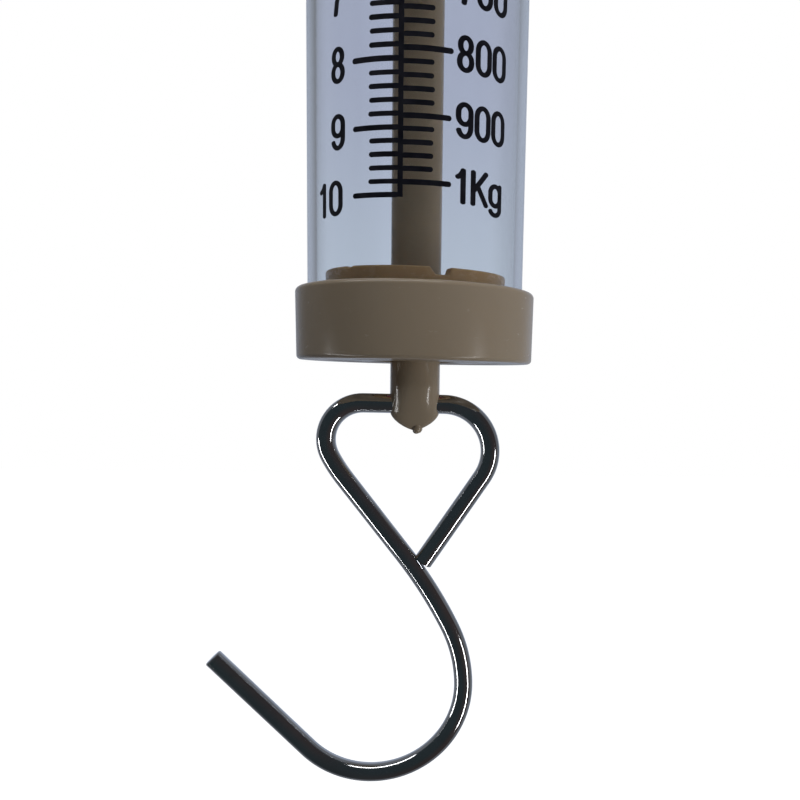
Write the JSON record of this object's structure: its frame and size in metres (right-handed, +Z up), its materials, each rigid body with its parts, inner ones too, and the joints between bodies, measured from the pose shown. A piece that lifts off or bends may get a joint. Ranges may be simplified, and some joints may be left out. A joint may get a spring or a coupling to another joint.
{
  "type": "tubular hanging spring scale",
  "caption": "Clear tubular pull scale with an extension spring, a reading disc, a zero nut, a hanging ring and a wire load hook.",
  "frame": {"origin": "the point inside the top of the suspension ring that rests on the support", "axes": "+Z up along the scale's axis, -Y towards the viewer of the printed scale, ring and load hook in the XZ plane"},
  "size_m": [0.042, 0.03, 0.2483],
  "materials": {
    "plated_wire": "bright nickel plating",
    "stem_brass": "turned, slightly dull",
    "plain_steel": "plain",
    "spring_steel": "drawn wire",
    "beige_plastic": "moulded gloss",
    "white_plastic": "moulded satin",
    "red_plastic": "moulded satin",
    "clear_plastic": "clear extruded tube with a faint blue tint",
    "ink": "screen-printed ink"
  },
  "bodies": {
    "ring": {"suspension_ring": "plated_wire"},
    "stem": {"zero_stem": "stem_brass", "stem_guide_pin": "plain_steel", "upper_spring_plug": "white_plastic", "plug_pin": "plain_steel", "extension_spring": "spring_steel"},
    "barrel": {"top_cap": "beige_plastic", "scale_tube": "clear_plastic", "bottom_cap": "beige_plastic", "guide_bush": "beige_plastic", "nut_washer": "white_plastic", "base_line": "ink", "newton_marks": "ink", "gram_marks": "ink"},
    "nut": {"zero_nut": "beige_plastic", "nut_clip": "plain_steel"},
    "plunger": {"plunger_rod": "beige_plastic", "reading_disc": "red_plastic", "lower_spring_plug": "white_plastic", "disc_screw": "plain_steel"},
    "hook": {"load_hook": "plated_wire"}
  },
  "joints": [
    {"name": "ring_swing", "type": "hinge", "parent": "ring", "child": "stem", "pos_m": [0, 0, -0.02225], "axis": [1, 0, 0], "range_deg": [-70, 70]},
    {"name": "zero_shift", "type": "slide", "parent": "stem", "child": "barrel", "axis": [0, 0, 1], "range_m": [-0.0025, 0.0025]},
    {"name": "nut_turn", "type": "hinge", "parent": "barrel", "child": "nut", "pos_m": [0, 0, -0.04], "axis": [0, 0, 1], "range_deg": [-902, 902]},
    {"name": "plunger_slide", "type": "slide", "parent": "stem", "child": "plunger", "axis": [0, 0, -1], "range_m": [0, 0.0755], "stiffness_N_per_m": 140.4, "springref_m": -0.001, "deforming": ["extension_spring"]},
    {"name": "hook_swing", "type": "hinge", "parent": "plunger", "child": "hook", "pos_m": [0, 0, -0.1946], "axis": [1, 0, 0], "range_deg": [-80, 80]}
  ],
  "couplings": [
    {"joint": "nut_turn", "follows": "zero_shift", "rad_per_m": 6283.2}
  ]
}
